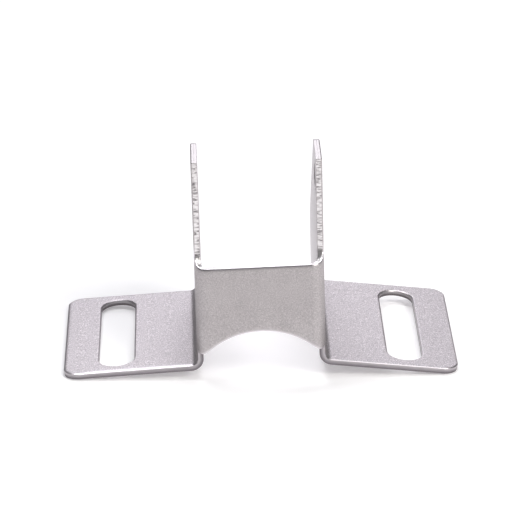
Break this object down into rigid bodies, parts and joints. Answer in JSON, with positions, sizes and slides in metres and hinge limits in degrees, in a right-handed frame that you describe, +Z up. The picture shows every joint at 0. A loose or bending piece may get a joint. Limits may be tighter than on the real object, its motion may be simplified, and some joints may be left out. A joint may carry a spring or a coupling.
{
  "type": "mounting bracket",
  "caption": "Folded sheet steel bracket: a channel with tapered ears and two slotted wings, its web arched below.",
  "frame": {"origin": "centre of the bounding box's bottom, with the bracket resting on a level floor", "axes": "+X to the right along the wings, +Y from the web towards the channel's open back, +Z up"},
  "size_m": [0.1236, 0.065, 0.0735],
  "materials": {
    "blasted_steel": "matt, bead blasted"
  },
  "bodies": {
    "root": {"folded_bracket": "blasted_steel"}
  },
  "joints": []
}
